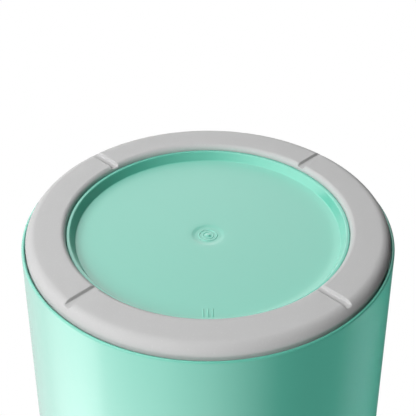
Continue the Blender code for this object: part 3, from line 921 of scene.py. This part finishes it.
class Graph:
    """A node tree that is being filled."""

    def __init__(self, tree):
        self.tree = tree
        self.tree.nodes.clear()

    def add(self, kind, settings=None, inputs=(), output=0):
        """Adds a node: its settings first, then its sockets, by place or by name. Returns one output."""
        node = self.tree.nodes.new(kind)
        for name, value in (settings or {}).items():
            if name == "stops":
                self.set_stops(node.color_ramp, value)
            else:
                setattr(node, name, value)
        for key, value in inputs.items() if isinstance(inputs, dict) else enumerate(inputs):
            if isinstance(value, Value):
                self.tree.links.new(value.socket, node.inputs[key])
            else:
                node.inputs[key].default_value = value
        return Value(self, node.outputs[output]) if node.outputs else None

    def set_stops(self, ramp, stops):
        while len(ramp.elements) < len(stops):
            ramp.elements.new(0.5)
        for element, (place, level) in zip(ramp.elements, stops):
            element.position = place
            element.color = (level, level, level, 1)

    def mix(self, first, second, factor):
        """A colour between two, by a factor from 0 to 1."""
        settings = {"data_type": "RGBA"}
        return self.add("ShaderNodeMix", settings, {0: factor, 6: first, 7: second}, output=2)

    def noise(self, scale, detail=2, roughness=0.5, stretch=(1, 1, 1)):
        """Noise on the object's own coordinates, with so many waves in a metre."""
        place = self.add("ShaderNodeTexCoord", output="Object")
        place = self.add("ShaderNodeMapping", {}, {"Vector": place, "Scale": stretch})
        inputs = {"Vector": place, "Scale": scale, "Detail": detail, "Roughness": roughness}
        return self.add("ShaderNodeTexNoise", {}, inputs)

    def ramp(self, value, stops):
        """A value remapped through stops of (place, level)."""
        return self.add("ShaderNodeValToRGB", {"stops": stops}, (value,))

    def specks(self, scale, radius):
        """Small round dots: where the surface passes near one of many scattered points."""
        place = self.add("ShaderNodeTexCoord", output="Object")
        away = self.add("ShaderNodeTexVoronoi", {}, {"Vector": place, "Scale": scale}, output="Distance")
        return self.ramp(away, [(radius / 2, 1), (radius, 0)])

    def rings(self, scale):
        """Fine marks that run round the axis, as a lathe leaves: noise that is stretched round it."""
        place = self.add("ShaderNodeTexCoord", output="Object")
        x = self.add("ShaderNodeSeparateXYZ", {}, (place,), output="X")
        y = self.add("ShaderNodeSeparateXYZ", {}, (place,), output="Y")
        z = self.add("ShaderNodeSeparateXYZ", {}, (place,), output="Z")
        radius = (x * x + y * y).math("SQRT", 0)
        turn = y.math("ARCTAN2", x) * 0.002
        place = self.add("ShaderNodeCombineXYZ", {}, (radius, turn, z))
        inputs = {"Vector": place, "Scale": scale, "Detail": 3, "Roughness": 0.6}
        return self.add("ShaderNodeTexNoise", {}, inputs)

    def bump(self, height, strength, distance):
        inputs = {"Height": height, "Strength": strength, "Distance": distance}
        return self.add("ShaderNodeBump", {}, inputs)


def finish(name, build, **constants):
    """A material: build(graph) returns the varying inputs of its shader, and constants are the others."""
    material = bpy.data.materials.new(name)
    material.use_nodes = True
    graph = Graph(material.node_tree)
    inputs = {key.replace("_", " ").title(): value for key, value in constants.items()}
    inputs = {key.replace("Ior", "IOR"): value for key, value in inputs.items()}
    shader = graph.add("ShaderNodeBsdfPrincipled", {}, {**inputs, **build(graph)})
    graph.add("ShaderNodeOutputMaterial", {}, {"Surface": shader})
    return material


def coat(piece, material):
    piece.data.materials.clear()
    piece.data.materials.append(material)


# %% [markdown]
# ## Mint plastic
#
# The jar is polypropylene with a polished tool surface: a satin gloss with a faint orange peel, a
# little cloudiness in the pigment where the melt flowed, and fine rubbing marks that show only in
# the highlights. The colour varies by one or two percent, no more, or the moulding looks dirty. A few
# dark specks of burnt resin, a tenth of a millimetre across, are left in as every real moulding has.

# %% Mint plastic
MINT = (0.100, 0.470, 0.355, 1)
MINT_CLOUD = (0.095, 0.460, 0.346, 1)
MINT_SPECK = (0.07, 0.36, 0.27, 1)


def mint_plastic(graph):
    cloud = graph.noise(28, 3, 0.55)
    marks = graph.noise(900, 4, 0.7, stretch=(1, 1, 0.15))
    peel = graph.noise(420, 2, 0.4)
    specks = graph.specks(110, 0.03)
    body = graph.mix(MINT, MINT_CLOUD, cloud)
    return {
        "Base Color": graph.mix(body, MINT_SPECK, 0.6 * specks),
        "Roughness": 0.34 + 0.10 * marks,
        "Normal": graph.bump(peel, 0.05, 0.0004),
    }


mint = finish("mint_plastic", mint_plastic, specular_ior_level=0.5, coat_weight=0.8, coat_roughness=0.12)
for piece in (jar_shell, lid_shell, knob_core):
    coat(piece, mint)

# %% [markdown]
# ## Foot rubber
#
# The ring and the knob's cap are a light grey thermoplastic elastomer. It is matt with a very fine
# grain, and it picks up dust, which shows as slightly lighter flecks.

# %% Foot rubber
RUBBER = (0.545, 0.545, 0.545, 1)
RUBBER_DUST = (0.60, 0.60, 0.595, 1)


def foot_rubber(graph):
    grain = graph.noise(3200, 3, 0.6)
    flecks = graph.ramp(graph.noise(1500, 2, 0.5), [(0.60, 0), (0.72, 1)])
    return {
        "Base Color": graph.mix(RUBBER, RUBBER_DUST, 0.5 * flecks),
        "Roughness": 0.52 + 0.12 * grain,
        "Normal": graph.bump(grain, 0.25, 0.0001),
    }


rubber = finish("foot_rubber", foot_rubber, specular_ior_level=0.4)
for piece in (foot, knob_cap):
    coat(piece, rubber)

# %% [markdown]
# ## Silicone, liner and bush
#
# The seals are a darker grey silicone, smoother than the foot and slightly translucent. The liner is
# natural polypropylene, an off-white with soft flow marks that run out from its centre. The bush is
# acetal, turned on a lathe: fine rings run round its axis.

# %% Soft seals, liner and bush
SILICONE = (0.265, 0.275, 0.275, 1)
SILICONE_BLOOM = (0.34, 0.35, 0.35, 1)
LINER = (0.80, 0.79, 0.74, 1)
LINER_FLOW = (0.74, 0.73, 0.675, 1)
ACETAL = (0.52, 0.54, 0.54, 1)
ACETAL_DARK = (0.45, 0.47, 0.47, 1)


def gasket_rubber(graph):
    bloom = graph.ramp(graph.noise(260, 3, 0.6), [(0.45, 0), (0.75, 1)])
    grain = graph.noise(2600, 2, 0.5)
    return {
        "Base Color": graph.mix(SILICONE, SILICONE_BLOOM, bloom),
        "Roughness": 0.36 + 0.16 * grain,
        "Normal": graph.bump(grain, 0.12, 0.0001),
    }


def liner_plastic(graph):
    flow = graph.noise(70, 4, 0.6)
    grain = graph.noise(1800, 2, 0.5)
    return {
        "Base Color": graph.mix(LINER, LINER_FLOW, flow),
        "Roughness": 0.38 + 0.14 * grain,
        "Normal": graph.bump(grain, 0.10, 0.0001),
    }


def bush_plastic(graph):
    rings = graph.rings(2600)
    return {
        "Base Color": graph.mix(ACETAL, ACETAL_DARK, 0.5 * rings),
        "Roughness": 0.30 + 0.15 * rings,
        "Normal": graph.bump(rings, 0.15, 0.00004),
    }


film = {"coat_weight": 0.1, "coat_roughness": 0.3}
silicone = finish("gasket_rubber", gasket_rubber, specular_ior_level=0.5, **film)
for piece in (gasket, wiper, bumper, *tray_feet):
    coat(piece, silicone)
coat(liner, finish("liner_plastic", liner_plastic, specular_ior_level=0.5))
coat(bush, finish("bush_plastic", bush_plastic, specular_ior_level=0.5))

# %% [markdown]
# ## Metals
#
# The rod, tray and hardware are stainless steel. They were polished while they turned, so the scratches
# run round the axis as fine rings, broken by noise. The threaded insert is brass with turning marks
# and a diamond knurl, which is the product of two waves that wind opposite ways.

# %% Steel and brass
STEEL = (0.60, 0.60, 0.61, 1)
STEEL_DARK = (0.50, 0.50, 0.51, 1)
BRASS = (0.72, 0.52, 0.24, 1)
BRASS_DULL = (0.58, 0.40, 0.17, 1)
KNURL_WAVES = 24


def stainless_steel(graph):
    rings = graph.rings(3600)
    smears = graph.noise(60, 3, 0.6)
    return {
        "Base Color": graph.mix(STEEL, STEEL_DARK, 0.5 * smears + 0.3 * rings),
        "Roughness": 0.20 + 0.10 * rings + 0.08 * smears,
        "Normal": graph.bump(rings, 0.10, 0.00003),
    }


def turned_brass(graph):
    place = graph.add("ShaderNodeTexCoord", output="Object")
    x = graph.add("ShaderNodeSeparateXYZ", {}, (place,), output="X")
    y = graph.add("ShaderNodeSeparateXYZ", {}, (place,), output="Y")
    z = graph.add("ShaderNodeSeparateXYZ", {}, (place,), output="Z")
    turn = y.math("ARCTAN2", x) * KNURL_WAVES
    climb = z * (KNURL_WAVES / INSERT_OUTER / MM)
    knurl = (turn + climb).math("SINE", 0) * (turn - climb).math("SINE", 0)
    tarnish = graph.noise(500, 3, 0.6)
    return {
        "Base Color": graph.mix(BRASS, BRASS_DULL, tarnish),
        "Roughness": 0.28 + 0.15 * tarnish,
        "Normal": graph.bump(knurl, 0.6, 0.0002),
    }


steel = finish("stainless_steel", stainless_steel, metallic=1.0)
for name in ("washer_above", "washer_below"):
    coat(bpy.data.objects[name], steel)
for piece in (rod, tray, nut):
    coat(piece, steel)
for slot in clip.material_slots:
    slot.material = steel
brass = finish("brass", turned_brass, metallic=1.0)
for slot in insert.material_slots:
    slot.material = brass

# %% [markdown]
# ## The camera
#
# The camera is below the jar and in front of it, turned over so that the underside is at the top of
# the picture: a jar that stands on its lid, seen from above, looks the same. Its place was worked out
# from how round the foot ring looks, in multiples of the ring's own radius.

# %% Camera
LENS = 80.92
PITCH = math.radians(35.69)
CAMERA_BACK = 4.118
CAMERA_DOWN = 3.042

forward = Vector((0, math.cos(PITCH), math.sin(PITCH)))
up = Vector((0, math.sin(PITCH), -math.cos(PITCH)))
side = forward.cross(up)
camera_place = (0, -CAMERA_BACK * CHANNEL_OUTER * MM, -CAMERA_DOWN * CHANNEL_OUTER * MM)
bpy.ops.object.camera_add(location=camera_place)
camera = bpy.context.object
camera.name = "camera"
camera.rotation_euler = Matrix((side, up, -forward)).transposed().to_euler()
camera.data.lens = LENS
camera.data.sensor_width = 36
camera.data.clip_start = 0.01
bpy.context.scene.camera = camera
print("camera at", [round(value, 4) for value in camera.location])

# %% [markdown]
# ## Light
#
# Directions are given as an azimuth from the camera's side of the jar, positive towards +X, and an
# elevation above the ground. The two keys are large softboxes low on the +X side, which light the
# underside. A kicker behind the -X side lights the far edge of the wall, and is linked to the mint
# pieces alone, or the pale knob would burn out. The lamp overhead can't reach the wall, which leans
# out as it rises: it lights the lid for the views from above.

# %% Lights
def direction(azimuth, elevation):
    a, e = math.radians(azimuth), math.radians(elevation)
    return Vector((math.sin(a) * math.cos(e), -math.cos(a) * math.cos(e), math.sin(e)))


def softbox(name, azimuth, elevation, power, size=0.4, distance=0.9, aim=(0, 0, 0.03)):
    """A square area light that faces the jar. The world alone makes its reflections."""
    target = Vector(aim)
    away = direction(azimuth, elevation)
    bpy.ops.object.light_add(type="AREA", location=target + away * distance)
    lamp = bpy.context.object
    lamp.name = name
    lamp.rotation_euler = away.to_track_quat("Z", "Y").to_euler()
    lamp.data.size = size
    lamp.data.energy = power
    lamp.visible_glossy = False
    return lamp


softbox("key", 42, -36, 6.0)
softbox("low key", 90, -62, 2.5)
softbox("back", 180, -62, 0.9)
softbox("front", -14, 35, 2.8)
kicker = softbox("kicker", -114, 45, 19)
kicker_receivers = bpy.data.collections.new("kicker receivers")
for piece in (jar_shell, lid_shell):
    kicker_receivers.objects.link(piece)
kicker.light_linking.receiver_collection = kicker_receivers
softbox("overhead", 0, 88, 2.5, size=0.6, aim=(0, 0, 0.24))

# %% [markdown]
# ## The world
#
# White walls of a studio tent are what a glossy jar shows, so the world gives its own brightness to
# reflections: one course round the jar above the horizon, with the hard edge of a diffuser on the +X
# side, and another below it. What the camera sees directly is plain white.

# %% World
SIDE_TOP = 6.0
SIDE = {-180: 0.5, -150: 0, -45: 0, -22: 0.9, 0: 2.1, 30: 3.1, 66: 3.2, 73: 4.2}
SIDE.update({84: 3.9, 104: 2.6, 120: 1.5, 150: 0.85})
BELOW = {-180: 2.7, -171: 2.4, -158: 0.4, -120: 0.2, -60: 0.1, 0: 1.2, 60: 4.2}
BELOW.update({90: 4.2, 120: 3.6, 180: 2.7})


def course(graph, azimuth, levels):
    """Brightness by azimuth, from {degrees: brightness}."""
    stops = [(angle / 360 + 0.5, level / SIDE_TOP) for angle, level in levels.items()]
    return SIDE_TOP * graph.ramp(azimuth, stops)


def build_world():
    world = bpy.data.worlds.new("studio")
    bpy.context.scene.world = world
    world.use_nodes = True
    graph = Graph(world.node_tree)
    place = graph.add("ShaderNodeTexCoord", output="Generated")
    x = graph.add("ShaderNodeSeparateXYZ", {}, (place,), output="X")
    y = graph.add("ShaderNodeSeparateXYZ", {}, (place,), output="Y")
    z = graph.add("ShaderNodeSeparateXYZ", {}, (place,), output="Z")
    azimuth = x.math("ARCTAN2", 0 - y) / math.tau + 0.5
    above = graph.add("ShaderNodeMapRange", {"interpolation_type": "SMOOTHSTEP"}, (z, -0.12, 0.12, 0, 1))
    gloss = course(graph, azimuth, SIDE) * above + course(graph, azimuth, BELOW) * (1 - above)
    fill = 0.04 + 0.10 * above
    ray = "ShaderNodeLightPath"
    is_camera = graph.add(ray, output="Is Camera Ray")
    is_glossy = graph.add(ray, output="Is Glossy Ray")
    level = is_camera * 1.0 + (1 - is_camera) * (is_glossy * gloss + (1 - is_glossy) * fill)
    shader = graph.add("ShaderNodeBackground", {}, {"Color": (1, 1, 1, 1), "Strength": level})
    graph.add("ShaderNodeOutputWorld", {}, {"Surface": shader})


build_world()
bpy.context.scene.view_settings.view_transform = "Standard"

# %% [markdown]
# ## The ground
#
# A pale sweep of paper carries the jar in the views from above. Near the jar the lamps light it, and
# further out it glows evenly and meets the white background without an edge. The camera of the main
# view is below it, so its underside is clear, and it takes no part in lighting the jar.

# %% Ground
deselect()
bpy.ops.mesh.primitive_plane_add(size=200.0)
ground = bpy.context.object
ground.name = "ground"
for ray in ("diffuse", "glossy", "transmission", "shadow"):
    setattr(ground, "visible_" + ray, False)


def build_ground():
    material = bpy.data.materials.new("pale_ground")
    material.use_nodes = True
    graph = Graph(material.node_tree)
    place = graph.add("ShaderNodeTexCoord", output="Object")
    x = graph.add("ShaderNodeSeparateXYZ", {}, (place,), output="X")
    y = graph.add("ShaderNodeSeparateXYZ", {}, (place,), output="Y")
    radius = (x * x + y * y).math("SQRT", 0)
    smooth = {"interpolation_type": "SMOOTHSTEP"}
    far = graph.add("ShaderNodeMapRange", smooth, (radius, 0.06, 0.45, 0.25, 1))
    near = graph.add("ShaderNodeBsdfDiffuse", {}, {"Color": (0.55, 0.55, 0.55, 1)})
    glow = graph.add("ShaderNodeEmission", {}, {"Color": (1, 1, 1, 1), "Strength": 1.0})
    pale = graph.add("ShaderNodeMixShader", {}, (far, near, glow))
    clear = graph.add("ShaderNodeBsdfTransparent", {}, {"Color": (1, 1, 1, 1)})
    below = graph.add("ShaderNodeNewGeometry", output="Backfacing")
    shader = graph.add("ShaderNodeMixShader", {}, (below, pale, clear))
    graph.add("ShaderNodeOutputMaterial", {}, {"Surface": shader})
    return material


coat(ground, build_ground())
